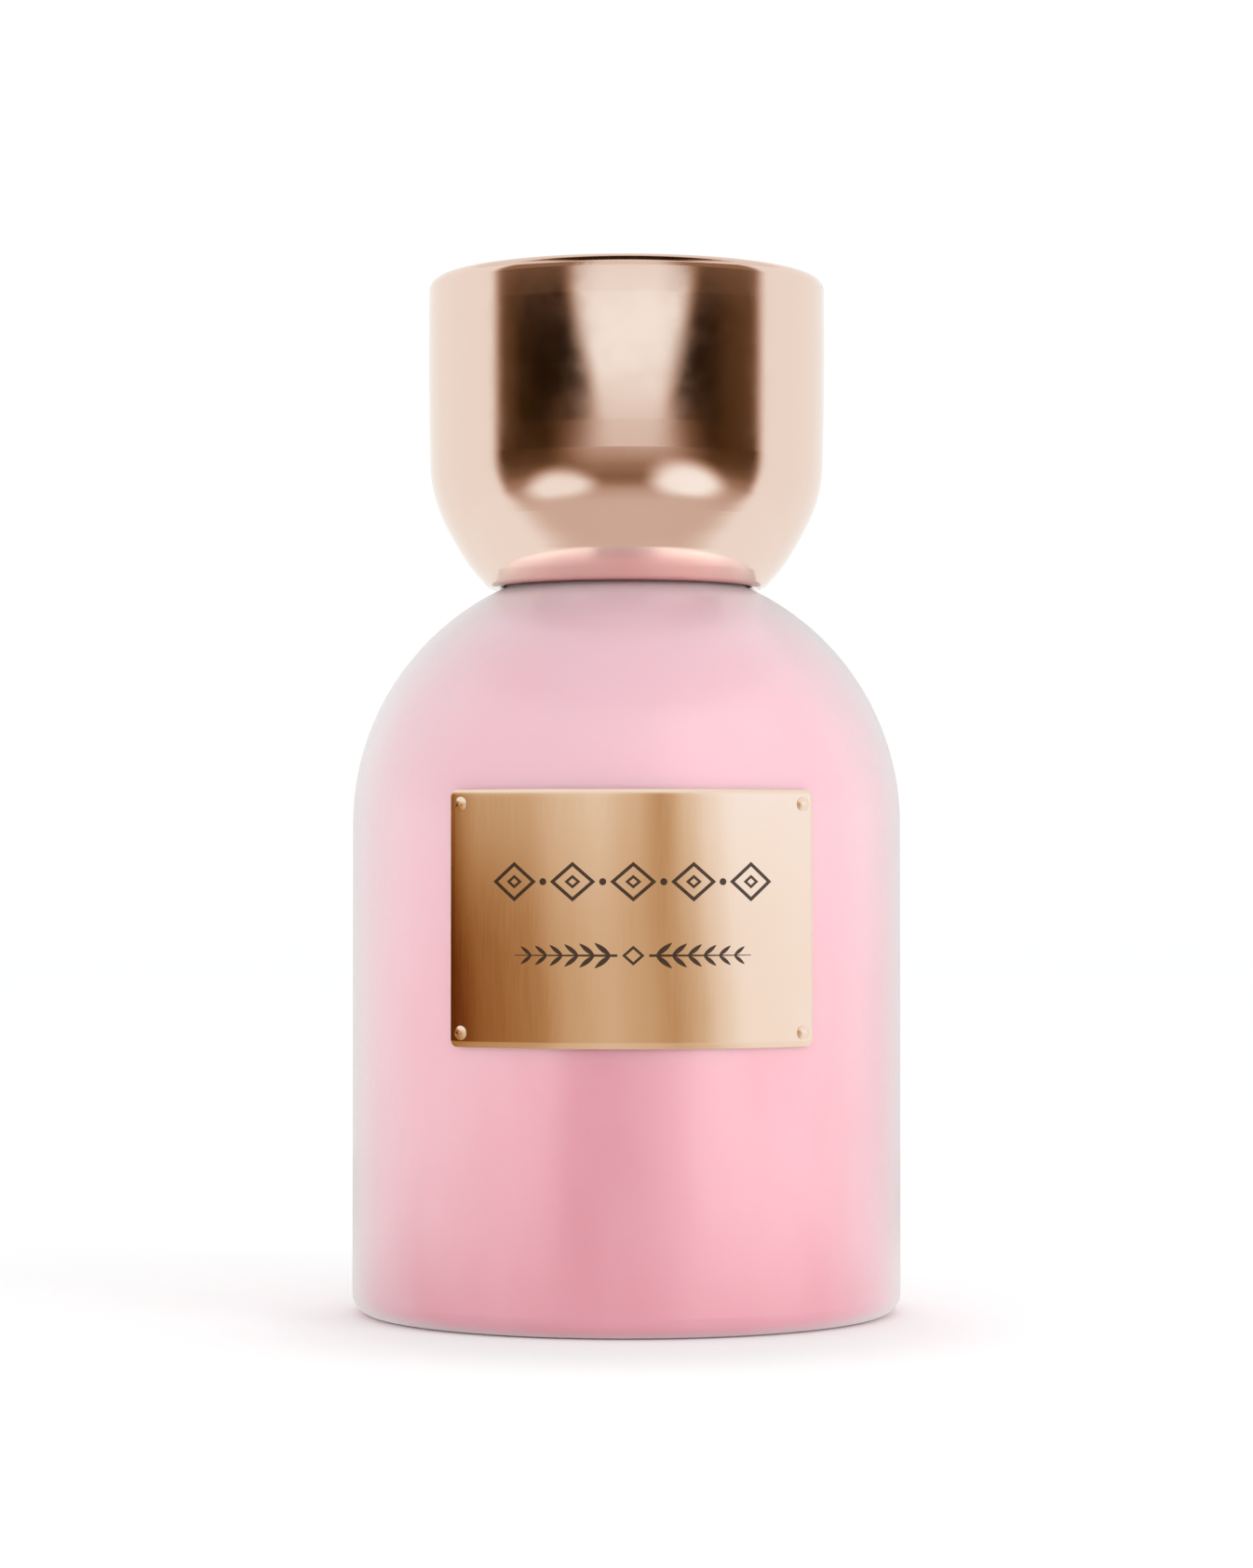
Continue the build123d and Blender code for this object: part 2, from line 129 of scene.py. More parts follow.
# Cap, low front: (distance below table level, brightness) down the middle and down both flanks.
CAP_MIDDLE = (
    (-84, 0.70), (-72, 0.60), (-54, 0.48), (-28, 0.34), (0, 0.26), (34, 0.33), (54, 0.50), (70, 0.61),
    (97, 0.71),
)
CAP_FLANK = (
    (-80, 0.07), (-45, 0.11), (-28, 0.17), (-4, 0.36), (14, 0.44), (34, 0.54), (62, 0.61), (97, 0.70),
)
# Cap, dark front of the wall: (azimuth, brightness).
CAP_DARK = (
    (-80, 0.33), (-70, 0.11), (-60, 0.028), (-46, 0.012), (36, 0.012), (46, 0.022), (60, 0.085),
    (70, 0.12), (80, 0.38),
)
LEFT_CARD = {"azimuth": -42.0, "depth": -32.0, "half_width": 25.0, "half_length": 66.0}
RIGHT_CARD = {"azimuth": 35.5, "depth": -20.0, "half_width": 26.0, "half_length": 74.0}
LEFT_CARD_LEVEL = 1.03
RIGHT_CARD_LEVEL = 1.12
RIGHT_CARD_TILT = 0.12
OPENING_AZIMUTH = 1.5
OPENING_REACH = 17.5
OPENING_SPREAD = 0.66
OPENING_FOOT = 81.0
OPENING_LEVEL = 1.09
SIDE_LEVEL = 0.99

# Plate: (azimuth, brightness at table height, brightness above it).
PLATE_LIGHT = (
    (-76, 0.12, 0.33), (-59, 0.33, 0.66), (-42, 0.41, 0.69), (-25, 0.64, 0.82), (-12, 0.71, 0.88),
    (1, 0.65, 0.76), (12, 0.55, 0.56), (22, 0.69, 0.84), (30, 0.88, 0.99), (40, 1.01, 1.08),
    (75, 1.04, 1.08), (110, 1.0, 1.0),
)
# Bottle, low and high on the wall: (azimuth, brightness). Bright, because frosted glass reflects little.
GLASS_LOW = (
    (-150, 0.75), (-130, 1.15), (-96, 2.5), (-70, 3.3), (-34, 3.0), (-20, 0.1), (2, 0.0), (14, 0.9),
    (30, 3.6), (64, 3.7), (96, 1.9), (130, 0.6),
)
GLASS_HIGH = (
    (-150, 0.9), (-130, 1.2), (-80, 2.2), (-30, 2.1), (0, 2.1), (30, 3.0), (60, 2.6), (90, 1.6),
    (130, 0.6),
)


def clamp(value):
    return max(0.0, min(1.0, value))


def ramp(value, low, high):
    """Smooth step from 0 at low to 1 at high."""
    t = clamp((value - low) / (high - low))
    return t * t * (3.0 - 2.0 * t)


def blend(first, second, amount):
    return tuple(a + (b - a) * amount for a, b in zip(first, second))


# ================================================================ camera
def make_camera():
    data = bpy.data.cameras.new("main_camera")
    data.lens = CAMERA_LENS
    data.sensor_width = SENSOR_WIDTH
    data.sensor_fit = "AUTO"
    data.clip_start = 0.01
    data.clip_end = 20.0
    camera = bpy.data.objects.new("main_camera", data)
    bpy.context.scene.collection.objects.link(camera)
    spot = (
        -CAMERA_DISTANCE * math.sin(CAMERA_TURN),
        -CAMERA_DISTANCE * math.cos(CAMERA_TURN),
        CAMERA_HEIGHT,
    )
    camera.location = spot
    aim = [target - place for target, place in zip((0.0, 0.0, AIM_HEIGHT), spot)]
    flat = math.hypot(aim[0], aim[1])
    camera.rotation_euler = (math.pi / 2 + math.atan2(aim[2], flat), 0.0, math.atan2(-aim[0], aim[1]))
    bpy.context.scene.camera = camera


# ================================================================ studio
def warm_light(level):
    """Studio light of one brightness: brown where it is dim, neutral where it is bright."""
    return (level, level * (0.44 + 0.60 * level ** 1.1), level * (0.09 + 0.94 * level))


def gold_light(level):
    """The same for the plate, whose dim side is a deeper brown."""
    return (level, level ** 1.72, 1.02 * level ** 2.8)


def plain_light(level):
    """The same for the glass, nearly neutral at every brightness."""
    return (0.935 * level, 0.985 * level, 0.97 * level)


def stepped(value, stops):
    """Smooth curve through (position, level) stops."""
    if value <= stops[0][0]:
        return stops[0][1]
    for (left, low), (right, high) in zip(stops, stops[1:]):
        if value <= right:
            return low + (high - low) * ramp(value, left, right)
    return stops[-1][1]


def card(azimuth, depth, shape):
    """A soft-edged oval of light on the studio's lower front, full in its middle."""
    across = (azimuth - shape["azimuth"]) / shape["half_width"]
    along = (depth - shape["depth"]) / shape["half_length"]
    return 1.0 - ramp(math.hypot(across, along), 0.50, 1.15)


def front_low(azimuth, depth):
    """Lower front of the studio: depth is the height on the wall, or less than 0 on along the table."""
    middle = stepped(-depth, CAP_MIDDLE)
    flank = stepped(-depth, CAP_FLANK)
    base = middle + (flank - middle) * ramp(abs(azimuth), 16.0, 48.0)
    near = ramp(depth, -92.0, -58.0)
    left = card(azimuth, depth, LEFT_CARD) * near
    right = card(azimuth + RIGHT_CARD_TILT * max(depth, 0.0), depth, RIGHT_CARD) * near
    return base + (LEFT_CARD_LEVEL - base) * left + (RIGHT_CARD_LEVEL - base) * right


def cap_wall(azimuth, height):
    """Dark front with a bright opening that widens upwards, cards at its foot and white sides."""
    dark = stepped(azimuth, CAP_DARK)
    level = dark + (front_low(azimuth, height) - dark) * (1.0 - ramp(height, 75.0, 85.0))
    skirt = 1.0 - ramp(height, 78.5, 85.0)
    reach = OPENING_REACH + OPENING_SPREAD * (height - OPENING_FOOT) + 5.0 * skirt
    soft = 6.0 + 9.0 * skirt
    opening = 1.0 - ramp(abs(azimuth - OPENING_AZIMUTH) - reach, -soft, soft)
    opening *= ramp(height, 64.0, 91.0) * (1.0 - ramp(height, 150.0, 160.0))
    level += (OPENING_LEVEL - level) * opening
    above = 0.85 - 0.55 * ramp(abs(azimuth), 14.0, 36.0)
    level += (above - level) * ramp(height, 106.5, 110.5)
    level += (SIDE_LEVEL - level) * ramp(abs(azimuth), 74.5, 83.5)
    return level


def cap_table(x, y):
    radius = math.hypot(x, y)
    azimuth = math.degrees(math.atan2(x, -y))
    level = front_low(azimuth, radius - STUDIO_RADIUS)
    return level + (1.0 - level) * ramp(y, -46.0, -16.0)


def cap_roof(x, y):
    """Bright but for a dark panel overhead, which draws the thin dark line along the cap's top edge."""
    panel = ramp(y, -135.0, -105.0) * (1.0 - ramp(y, 0.0, 28.0)) * (1.0 - ramp(abs(x), 60.0, 120.0))
    return 0.90 - 0.87 * panel


def plate_wall(azimuth, height):
    shift = 5.0 * (1.0 - ramp(height, 20.0, 30.0))
    low = stepped(azimuth - shift, [(stop, level) for stop, level, _ in PLATE_LIGHT])
    high = stepped(azimuth, [(stop, level) for stop, _, level in PLATE_LIGHT])
    level = low + (high - low) * ramp(height, 27.0, 45.0)
    return level + (1.0 - level) * ramp(height, 60.0, 140.0)


def plate_table(x, y):
    return 0.32 + 0.66 * plate_wall(math.degrees(math.atan2(x, -y)), 12.0)


def plate_roof(x, y):
    return 1.0


def bottle_wall(azimuth, height):
    low = stepped(azimuth, GLASS_LOW)
    high = stepped(azimuth, GLASS_HIGH)
    return low + (high - low) * ramp(height, 36.0, 80.0)


def bottle_table(x, y):
    far = bottle_wall(math.degrees(math.atan2(x, -y)), 0.0) * 0.8
    return far + (0.75 - far) * (1.0 - ramp(math.hypot(x, y), 40.0, 110.0))


def bottle_roof(x, y):
    return 1.2


def make_drum(name, tints, wall, table, roof, radius, receivers):
    """A closed drum of soft light around the object, seen only in the reflections of its receivers.

    The drums sit one inside the other, and each lets rays through to the next.
    """
    inset = STUDIO_RADIUS - radius
    floor = 0.05 + 0.02 * inset
    top = STUDIO_ROOF - inset
    turns = STUDIO_TURNS
    rings = [(float(distance), floor, table) for distance in range(TABLE_STEP, int(radius), TABLE_STEP)]
    rings += [(radius, float(height), wall) for height in range(1, int(top), STUDIO_STEP)]
    rings += [(radius * (1.0 - step / (ROOF_STEPS - 0.5)), top, roof) for step in range(ROOF_STEPS)]
    points = []
    tones = []
    for distance, height, tone in rings:
        for turn in range(turns):
            angle = 2.0 * math.pi * turn / turns
            x = distance * math.sin(angle)
            y = -distance * math.cos(angle)
            points.append((x * MM, y * MM, height * MM))
            level = tone(math.degrees(math.atan2(x, -y)), height) if tone is wall else tone(x, y)
            tones.extend((*tints(level), 1.0))
    faces = []
    for ring in range(len(rings) - 1):
        for turn in range(turns):
            after = (turn + 1) % turns
            low = ring * turns
            faces.append((low + turn, low + after, low + turns + after, low + turns + turn))
    mesh = bpy.data.meshes.new(name)
    mesh.from_pydata(points, [], faces)
    layer = mesh.color_attributes.new("tone", "FLOAT_COLOR", "POINT")
    layer.data.foreach_set("color", tones)
    material = bpy.data.materials.new(name)
    material.use_nodes = True
    nodes = material.node_tree.nodes
    links = material.node_tree.links
    nodes.clear()
    tone = nodes.new("ShaderNodeAttribute")
    tone.attribute_name = "tone"
    glow = nodes.new("ShaderNodeEmission")
    through = nodes.new("ShaderNodeBsdfTransparent")
    both = nodes.new("ShaderNodeAddShader")
    out = nodes.new("ShaderNodeOutputMaterial")
    links.new(tone.outputs["Color"], glow.inputs["Color"])
    links.new(glow.outputs["Emission"], both.inputs[0])
    links.new(through.outputs["BSDF"], both.inputs[1])
    links.new(both.outputs["Shader"], out.inputs["Surface"])
    material.cycles.emission_sampling = "NONE"
    mesh.materials.append(material)
    drum = bpy.data.objects.new(name, mesh)
    bpy.context.scene.collection.objects.link(drum)
    drum.visible_camera = False
    drum.visible_diffuse = False
    drum.visible_transmission = False
    drum.visible_volume_scatter = False
    drum.visible_shadow = False
    group = bpy.data.collections.new(name + "_only")
    for receiver in receivers:
        group.objects.link(receiver)
    drum.light_linking.receiver_collection = group


def make_studio(plate_pieces):
    bottle = [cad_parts["glass_bottle"]]
    others = [node for name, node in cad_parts.items() if name != "glass_bottle"]
    others = [node for node in others if node not in plate_pieces]
    make_drum("cap_light", warm_light, cap_wall, cap_table, cap_roof, STUDIO_RADIUS, others)
    make_drum("plate_light", gold_light, plate_wall, plate_table, plate_roof, STUDIO_RADIUS - 2, plate_pieces)
    make_drum("bottle_light", plain_light, bottle_wall, bottle_table, bottle_roof, STUDIO_RADIUS - 4, bottle)


def make_world():
    world = bpy.data.worlds.new("studio_world")
    bpy.context.scene.world = world
    world.use_nodes = True
    shade = world.node_tree.nodes["Background"]
    shade.inputs["Color"].default_value = (1.0, 1.0, 1.0, 1.0)
    shade.inputs["Strength"].default_value = WORLD_STRENGTH
    world.cycles_visibility.glossy = False


def make_floor():
    """White paper that darkens softly round the foot of the bottle: partly a shadow cast from the lights,
    partly a painted shadow where its glow is lowered.
    """
    mesh = bpy.data.meshes.new("floor")
    corners = [(x * FLOOR_HALF, y * FLOOR_HALF, 0) for x, y in ((-1, -1), (1, -1), (1, 1), (-1, 1))]
    mesh.from_pydata(corners, [], [(0, 1, 2, 3)])
    material = bpy.data.materials.new("floor_paper")
    material.use_nodes = True
    nodes = material.node_tree.nodes
    nodes.clear()
    paper = nodes.new("ShaderNodeBsdfDiffuse")
    paper.inputs["Color"].default_value = FLOOR_PAPER
    glow = nodes.new("ShaderNodeEmission")
    place = nodes.new("ShaderNodeTexCoord")
    away = nodes.new("ShaderNodeVectorMath")
    away.operation = "DISTANCE"
    away.inputs[1].default_value = FLOOR_PAINTED_SHADOW_CENTRE
    # Painted shadow: the floor's glow drops near the bottle's foot.
    painted_shadow = nodes.new("ShaderNodeMapRange")
    painted_shadow.interpolation_type = "SMOOTHSTEP"
    painted_shadow.inputs["From Min"].default_value = FLOOR_PAINTED_SHADOW_REACH[0]
    painted_shadow.inputs["From Max"].default_value = FLOOR_PAINTED_SHADOW_REACH[1]
    painted_shadow.inputs["To Min"].default_value = FLOOR_GLOW_IN_PAINTED_SHADOW
    painted_shadow.inputs["To Max"].default_value = FLOOR_GLOW_FAR
    both = nodes.new("ShaderNodeAddShader")
    out = nodes.new("ShaderNodeOutputMaterial")
    links = material.node_tree.links
    links.new(place.outputs["Object"], away.inputs[0])
    links.new(away.outputs["Value"], painted_shadow.inputs["Value"])
    links.new(painted_shadow.outputs["Result"], glow.inputs["Strength"])
    links.new(paper.outputs["BSDF"], both.inputs[0])
    links.new(glow.outputs["Emission"], both.inputs[1])
    links.new(both.outputs["Shader"], out.inputs["Surface"])
    mesh.materials.append(material)
    floor = bpy.data.objects.new("floor", mesh)
    bpy.context.scene.collection.objects.link(floor)
    floor.visible_glossy = False
    return floor


def area_light(name, place, aim, size, power, only=None):
    data = bpy.data.lights.new(name, "AREA")
    data.shape = "RECTANGLE"
    data.size = size[0]
    data.size_y = size[1]
    data.energy = power
    light = bpy.data.objects.new(name, data)
    bpy.context.scene.collection.objects.link(light)
    light.location = place
    way = [a - b for a, b in zip(aim, place)]
    flat = math.hypot(way[0], way[1])
    light.rotation_euler = (math.pi / 2 + math.atan2(way[2], flat), 0.0, math.atan2(-way[0], way[1]))
    light.visible_camera = False
    light.visible_glossy = False
    if only is not None:
        group = bpy.data.collections.new(name + "_only")
        group.objects.link(only)
        light.light_linking.receiver_collection = group


def make_lights(floor):
    area_light("floor_back", **BACK_LIGHT, only=floor)
    area_light("key_right", **KEY_LIGHT)


# ================================================================ materials
class Shader:
    """A Principled material and the few nodes that its look is built from."""

    def __init__(self, name):
        self.material = bpy.data.materials.new(name)
        self.material.use_nodes = True
        self.tree = self.material.node_tree
        self.bsdf = self.tree.nodes["Principled BSDF"]
        self.place = self.tree.nodes.new("ShaderNodeTexCoord").outputs["Object"]

    def set(self, **values):
        for name, value in values.items():
            self.bsdf.inputs[name.replace("_", " ")].default_value = value

    def stretched(self, scale):
        node = self.tree.nodes.new("ShaderNodeMapping")
        node.inputs["Scale"].default_value = scale
        self.tree.links.new(self.place, node.inputs["Vector"])
        return node.outputs["Vector"]

    def noise(self, size_mm, detail=2.0, stretch=(1.0, 1.0, 1.0)):
        """Soft noise whose grain is about size_mm across."""
        node = self.tree.nodes.new("ShaderNodeTexNoise")
        node.inputs["Scale"].default_value = 1.0 / (size_mm * MM)
        node.inputs["Detail"].default_value = detail
        self.tree.links.new(self.stretched(stretch), node.inputs["Vector"])
        return node.outputs["Fac"]

    def height(self, low_mm, high_mm):
        """0 at low_mm to 1 at high_mm up the object."""
        split = self.tree.nodes.new("ShaderNodeSeparateXYZ")
        self.tree.links.new(self.place, split.inputs["Vector"])
        return self.remap(split.outputs["Z"], low_mm * MM, high_mm * MM, 0.0, 1.0)

    def remap(self, socket, from_low, from_high, to_low, to_high):
        node = self.tree.nodes.new("ShaderNodeMapRange")
        node.interpolation_type = "SMOOTHSTEP"
        node.inputs["From Min"].default_value = from_low
        node.inputs["From Max"].default_value = from_high
        node.inputs["To Min"].default_value = to_low
        node.inputs["To Max"].default_value = to_high
        self.tree.links.new(socket, node.inputs["Value"])
        return node.outputs["Result"]

    def mix(self, factor, first, second):
        node = self.tree.nodes.new("ShaderNodeMix")
        node.data_type = "RGBA"
        self.tree.links.new(factor, node.inputs["Factor"])
        for value, socket in ((first, node.inputs["A"]), (second, node.inputs["B"])):
            if isinstance(value, tuple):
                socket.default_value = (*value, 1.0)
            else:
                self.tree.links.new(value, socket)
        return node.outputs["Result"]

    def drive(self, name, socket):
        self.tree.links.new(socket, self.bsdf.inputs[name])

    def bump(self, socket, depth_mm, strength=1.0):
        node = self.tree.nodes.new("ShaderNodeBump")
        node.inputs["Strength"].default_value = strength
        node.inputs["Distance"].default_value = depth_mm * MM
        self.tree.links.new(socket, node.inputs["Height"])
        self.tree.links.new(node.outputs["Normal"], self.bsdf.inputs["Normal"])


def pink_glass():
    """Frosted glass: pink that pales upwards and in soft clouds; where it is seen edge on its colour is
    whitened, a painted sheen.
    """
    look = Shader("pink_glass")
    look.set(Subsurface_Weight=0.5, Subsurface_Radius=(1.0, 0.45, 0.5), Subsurface_Scale=5.0 * MM)
    look.set(Coat_Weight=0.8, Coat_Roughness=0.20, Sheen_Weight=0.35, Sheen_Roughness=0.42)
    look.set(Sheen_Tint=FROST_SHEEN)
    tall = look.mix(look.height(20.0, 56.0), PINK_LOW, PINK_HIGH)
    cloud = look.remap(look.noise(9.0, 2.0, (1.0, 1.0, 0.45)), 0.35, 0.65, 0.0, 0.35)
    pale = look.mix(cloud, tall, blend(PINK_LOW, PINK_CLOUD, 0.5))
    # Painted sheen: the base colour turns whitish where the glass is seen edge on, standing in for the bright
    # surroundings seen in and through it.
    edge = look.tree.nodes.new("ShaderNodeLayerWeight")
    edge.inputs["Blend"].default_value = 0.35
    edge_painted_sheen = look.remap(edge.outputs["Facing"], 0.15, 0.85, 0.0, 0.75)
    look.drive("Base Color", look.mix(edge_painted_sheen, pale, FROST_EDGE_PAINTED_SHEEN))
    look.drive("Roughness", look.remap(look.noise(0.6, 3.0), 0.3, 0.7, 0.34, 0.44))
    look.bump(look.noise(0.09, 3.0), 0.004, 0.5)
    return look.material


def polished(name, color, low, high, depth):
    look = Shader(name)
    look.set(Metallic=1.0)
    shade = look.mix(look.noise(3.0, 3.0), blend(color, METAL_STAIN, 0.03), color)
    look.drive("Base Color", shade)
    look.drive("Roughness", look.remap(look.noise(2.2, 4.0), 0.35, 0.7, low, high))
    look.bump(look.noise(0.9, 1.0), depth, 0.3)
    return look.material


def plain_plastic(name, color, low, high):
    look = Shader(name)
    shade = look.mix(look.noise(1.5, 3.0), blend(color, PLASTIC_STAIN, 0.06), color)
    look.drive("Base Color", shade)
    look.drive("Roughness", look.remap(look.noise(0.4, 3.0), 0.3, 0.7, low, high))
    look.bump(look.noise(0.12, 2.0), 0.004, 0.4)
    return look.material


def brushed_steel():
    look = Shader("steel")
    look.set(Metallic=1.0)
    lines = look.noise(0.25, 3.0, (1.0, 1.0, 8.0))
    look.drive("Base Color", look.mix(lines, (0.50, 0.50, 0.51), (0.66, 0.66, 0.67)))
    look.drive("Roughness", look.remap(lines, 0.3, 0.7, 0.18, 0.34))
    look.bump(lines, 0.003, 0.4)
    return look.material


def clear_plastic():
    look = Shader("clear_plastic")
    look.set(IOR=1.49, Transmission_Weight=0.85)
    look.drive("Base Color", look.mix(look.noise(4.0, 2.0), (0.88, 0.91, 0.92), (0.96, 0.97, 0.97)))
    look.drive("Roughness", look.remap(look.noise(0.8, 3.0), 0.3, 0.7, 0.10, 0.20))
    return look.material


def seal_rubber():
    look = Shader("seal_rubber")
    look.drive("Base Color", look.mix(look.noise(0.5, 4.0), (0.060, 0.060, 0.064), (0.10, 0.10, 0.105)))
    look.drive("Roughness", look.remap(look.noise(0.3, 3.0), 0.3, 0.7, 0.62, 0.80))
    look.bump(look.noise(0.10, 3.0), 0.008, 0.5)
    return look.material


def adhesive():
    look = Shader("adhesive")
    look.drive("Base Color", look.mix(look.noise(0.3, 4.0), (0.70, 0.69, 0.66), (0.84, 0.83, 0.80)))
    look.drive("Roughness", look.remap(look.noise(0.3, 3.0), 0.3, 0.7, 0.5, 0.7))
    look.bump(look.noise(0.15, 3.0), 0.01, 0.5)
    return look.material


def plate_gold(name):
    """Satin gold: fine upright brushing, over slow clouds of a browner tone."""
    look = Shader(name)
    look.set(Metallic=1.0)
    grain = look.noise(0.16, 3.0, (1.0, 1.0, 0.05))
    cloud = look.noise(5.0, 2.0)
    look.drive("Base Color", look.mix(cloud, blend(GOLD, GOLD_BROWNER_TONE, 0.18), GOLD))
    look.drive("Roughness", look.remap(grain, 0.3, 0.7, 0.10, 0.16))
    look.bump(grain, 0.0006, 0.5)
    return look.material


def dark_enamel():
    look = Shader("dark_enamel")
    look.set(Coat_Weight=0.4, Coat_Roughness=0.2, Metallic=0.55)
    look.drive("Base Color", look.mix(look.noise(0.4, 3.0), (0.035, 0.018, 0.010), (0.075, 0.042, 0.026)))
    look.drive("Roughness", look.remap(look.noise(0.3, 3.0), 0.3, 0.7, 0.28, 0.42))
    return look.material


# ================================================================ front plate
def plate_frame():
    """Outer radius, half arc length and heights of the plate, read from its node."""
    low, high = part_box("name_plate")
    radius = -low[1] - INLAY_LIFT
    half = radius * math.asin(high[0] / radius)
    return radius, half, low[2], high[2]


def wrapped(radius, arc, height, around):
    """Point at an arc length and height on a cylinder, the arc measured on radius around."""
    angle = arc / around
    return (radius * math.sin(angle), -radius * math.cos(angle), height)


def spaced(half, edge, fine, coarse):
    """Positions from -half to half, closer together near both ends."""
    rim = [half - edge + edge * math.sin(math.pi / 2 * k / fine) for k in range(fine + 1)]
    inner = half - edge
    middle = [-inner + 2 * inner * k / coarse for k in range(1, coarse)]
    return [-value for value in reversed(rim)] + middle + rim


def make_mesh_piece(name, points, faces, material):
    mesh = bpy.data.meshes.new(name)
    mesh.from_pydata(points, [], faces)
    mesh.validate()
    mesh.update()
    for face in mesh.polygons:
        face.use_smooth = True
    mesh.materials.append(material)
    piece = bpy.data.objects.new(name, mesh)
    bpy.context.scene.collection.objects.link(piece)
    return piece


def make_plate(material):
    """The plate as one closed sheet with rounded corners and a front edge that rolls off."""
    radius, half, bottom, top = plate_frame()
    across = spaced(half, PLATE_RIM, RIM_STEPS, STEPS_ACROSS)
    centre = (bottom + top) / 2
    tall = (top - bottom) / 2
    up = spaced(tall, PLATE_RIM, RIM_STEPS, STEPS_UP)

    def rounded(u, v):
        """Moves a grid point of the square plate so that its corners are round."""
        du = abs(u) - (half - PLATE_CORNER)
        dv = abs(v) - (tall - PLATE_CORNER)
        if du <= 0 or dv <= 0:
            return u, v
        x = du / PLATE_CORNER
        y = dv / PLATE_CORNER
        nx = x * math.sqrt(1 - y * y / 2)
        ny = y * math.sqrt(1 - x * x / 2)
        return (
            math.copysign(half - PLATE_CORNER + nx * PLATE_CORNER, u),
            math.copysign(tall - PLATE_CORNER + ny * PLATE_CORNER, v),
        )

    def edge_distance(u, v):
        du = half - abs(u)
        dv = tall - abs(v)
        if du < PLATE_CORNER and dv < PLATE_CORNER:
            return PLATE_CORNER - math.hypot(PLATE_CORNER - du, PLATE_CORNER - dv)
        return min(du, dv)

    columns = len(across)
    rows = len(up)
    points = []
    for layer in (0, 1):
        for v in up:
            for u in across:
                ru, rv = rounded(u, v)
                fall = PLATE_THICKNESS
                if layer == 0:
                    inside = clamp(edge_distance(ru, rv) / PLATE_BEVEL)
                    fall = PLATE_DROP * (1.0 - math.sqrt(1.0 - (1.0 - inside) ** 2))
                points.append(wrapped(radius - fall, ru, centre + rv, radius))
    count = columns * rows
    faces = []
    for row in range(rows - 1):
        for column in range(columns - 1):
            a = row * columns + column
            faces.append((a, a + 1, a + 1 + columns, a + columns))
            b = a + count
            faces.append((b, b + columns, b + 1 + columns, b + 1))
    rim = list(range(columns))
    rim += [row * columns + columns - 1 for row in range(1, rows)]
    rim += [(rows - 1) * columns + column for column in range(columns - 2, -1, -1)]
    rim += [row * columns for row in range(rows - 2, 0, -1)]
    for here, after in zip(rim, rim[1:] + rim[:1]):
        faces.append((here, here + count, after + count, after))
    piece = make_mesh_piece("front_plate", points, faces, material)
    piece.data.set_sharp_from_angle(angle=SHARP_EDGE)
    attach(piece, "bottle")
    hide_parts("name_plate")
    return piece


class Inlay:
    """Thin strips of enamel on the plate, each a closed solid, all in one mesh."""

    def __init__(self, radius, centre):
        self.radius = radius
        self.centre = centre
        self.points = []
        self.faces = []

    def strip(self, first, second, closed=False):
        """Solid between two lines of (arc, height) points in millimetres."""
        start = len(self.points)
        for one, two in zip(first, second):
            for arc, height in (one, two):
                for lift in (INLAY_LIFT, -INLAY_DEPTH):
                    self.points.append(
                        wrapped(self.radius + lift, arc * MM, self.centre + height * MM, self.radius)
                    )
        total = len(first)
        for step in range(total if closed else total - 1):
            a = start + 4 * step
            b = start + 4 * ((step + 1) % total)
            self.faces.append((a, b, b + 2, a + 2))
            self.faces.append((a + 1, a + 3, b + 3, b + 1))
            self.faces.append((a, a + 1, b + 1, b))
            self.faces.append((a + 2, b + 2, b + 3, a + 3))
        if not closed:
            end = start + 4 * (total - 1)
            self.faces.append((start, start + 2, start + 3, start + 1))
            self.faces.append((end, end + 1, end + 3, end + 2))

    def lozenge(self, x, y, wide, tall, stroke):
        """Outlined lozenge."""
        grow = math.hypot(wide, tall) / (wide * tall) * stroke
        corners = ((1, 0), (0, 1), (-1, 0), (0, -1))
        outer = []
        inner = []
        for index in range(4):
            cx, cy = corners[index]
            nx, ny = corners[(index + 1) % 4]
            for step in range(4):
                t = step / 4
                ex = cx + (nx - cx) * t
                ey = cy + (ny - cy) * t
                outer.append((x + ex * wide, y + ey * tall))
                inner.append((x + ex * wide * (1 - grow), y + ey * tall * (1 - grow)))
        self.strip(outer, inner, closed=True)

    def leaf(self, x, y, length, width, angle):
        """Pointed leaf that starts at x, y."""
        upper = []
        lower = []
        for step in range(9):
            t = step / 8
            swell = width * math.sin(math.pi * t) ** 0.8 * (1.0 - 0.25 * t) + LEAF_TIP
            px = x + length * t * math.cos(angle)
            py = y + length * t * math.sin(angle)
            upper.append((px - swell * math.sin(angle), py + swell * math.cos(angle)))
            lower.append((px + swell * math.sin(angle), py - swell * math.cos(angle)))
        self.strip(upper, lower)

    def dot(self, x, y, size):
        """Round dot."""
        upper = []
        lower = []
        for step in range(11):
            t = math.pi * step / 10
            px = x - size * math.cos(t)
            py = size * max(math.sin(t), 0.03)
            upper.append((px, y + py))
            lower.append((px, y - py))
        self.strip(upper, lower)

    def rule(self, x0, x1, y, width0, width1):
        """Level stem that tapers from x0 to x1."""
        upper = []
        lower = []
        for step in range(17):
            t = step / 16
            px = x0 + (x1 - x0) * t
            half = (width0 + (width1 - width0) * t) / 2
            upper.append((px, y + half))
            lower.append((px, y - half))
        self.strip(upper, lower)


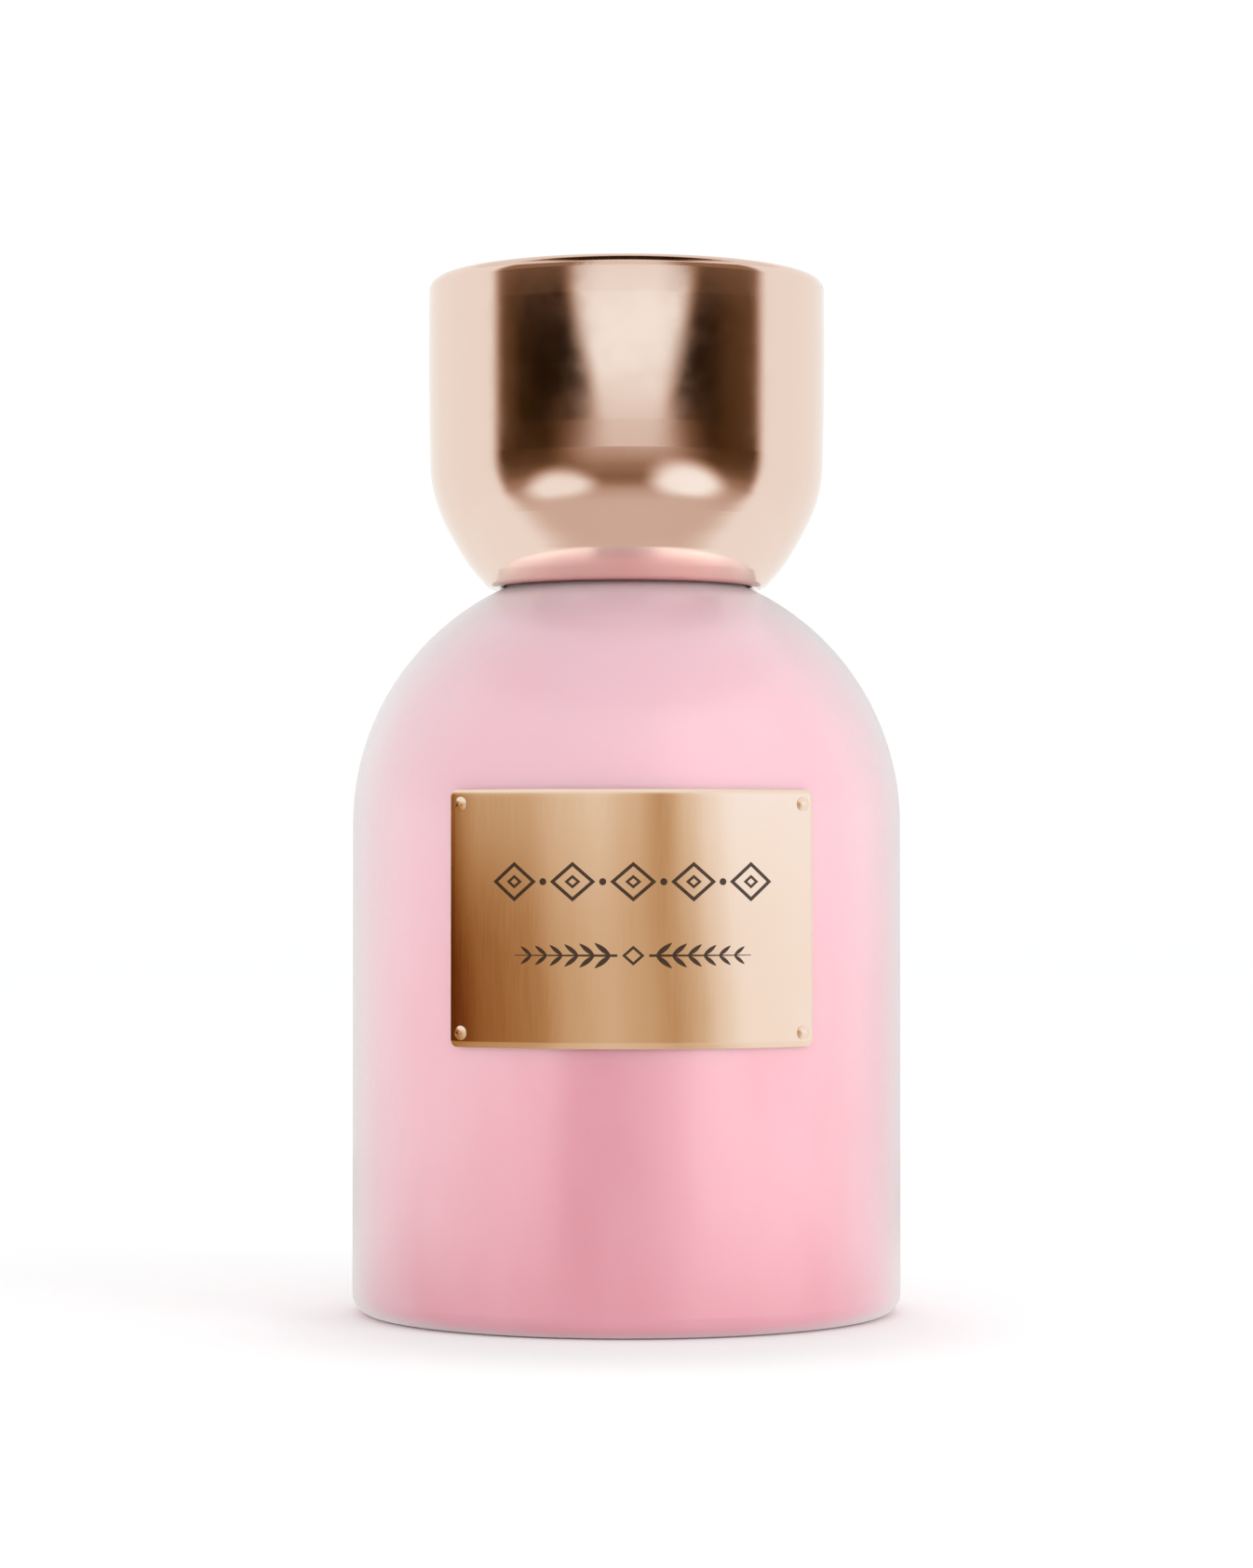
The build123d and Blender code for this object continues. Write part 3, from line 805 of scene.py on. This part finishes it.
def make_inlay(material):
    """A row of lozenges with dots between them, over a sprig that grows both ways from a small lozenge."""
    radius, _, bottom, top = plate_frame()
    work = Inlay(radius, (bottom + top) / 2)
    for index in range(-2, 3):
        work.lozenge(index * BAND_PITCH, BAND_HEIGHT, *BAND_LOZENGE)
        work.lozenge(index * BAND_PITCH, BAND_HEIGHT, *BAND_CENTRE)
    for index in range(-2, 2):
        work.dot((index + 0.5) * BAND_PITCH, BAND_HEIGHT, BAND_DOT)
    work.lozenge(0.0, SPRIG_HEIGHT, *SPRIG_LOZENGE)
    for way in (-1, 1):
        work.rule(way * SPRIG_START, way * SPRIG_END, SPRIG_HEIGHT, *SPRIG_STEM)
        for index in range(LEAF_PAIRS):
            x = way * (LEAF_FIRST + index * LEAF_PITCH)
            size = 1.0 - LEAF_SHRINK * index
            for lean in (1, -1):
                angle = lean * LEAF_LEAN
                if way < 0:
                    angle = math.pi - angle
                work.leaf(x, SPRIG_HEIGHT, LEAF_LENGTH * size, LEAF_WIDTH * size, angle)
    piece = make_mesh_piece("plate_inlay", work.points, work.faces, material)
    for face in piece.data.polygons:
        face.use_smooth = False
    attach(piece, "bottle")
    return piece


# ================================================================ springs
def make_spring(name, node, body, material):
    """The spring's own coils, copied from its node and carried by the given body."""
    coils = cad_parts[node].data.copy()
    coils.name = name
    coils.materials.clear()
    coils.materials.append(material)
    piece = bpy.data.objects.new(name, coils)
    bpy.context.scene.collection.objects.link(piece)
    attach(piece, body)
    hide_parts(node)
    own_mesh(piece)
    return piece


# ================================================================ put together
def dress(look, *names):
    for name in names:
        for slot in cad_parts[name].material_slots:
            slot.material = look


make_camera()
make_world()
make_lights(make_floor())

rose = polished("rose_gold", ROSE, 0.11, 0.15, 0.0002)
gold = plate_gold("gold_plate")
white = plain_plastic("white_plastic", PLASTIC, 0.32, 0.46)
clear = clear_plastic()
steel = brushed_steel()
rubber = seal_rubber()
dress(pink_glass(), "glass_bottle")
dress(rose, "cap_shell", "actuator_shell", "decor_collar", "crimp_ferrule")
dress(gold, "name_plate", "plate_rivets")
dress(white, "cap_liner", "collar_insert", "turret", "actuator_button", "nozzle_insert")
dress(white, "stem", "plunger", "piston")
dress(steel, "cap_weight", "return_spring", "precompression_spring", "inlet_ball")
dress(clear, "pump_housing", "dip_tube")
dress(rubber, "neck_gasket", "stem_seal")
dress(adhesive(), "plate_adhesive")
plate_pieces = [make_plate(gold), make_inlay(dark_enamel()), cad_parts["plate_rivets"]]
make_spring("return_coil", "return_spring", "bottle", steel)
make_spring("precompression_coil", "precompression_spring", "pump_piston", steel)
make_studio(plate_pieces)

scene = bpy.context.scene
scene.view_settings.view_transform = "Standard"
scene.view_settings.look = "None"
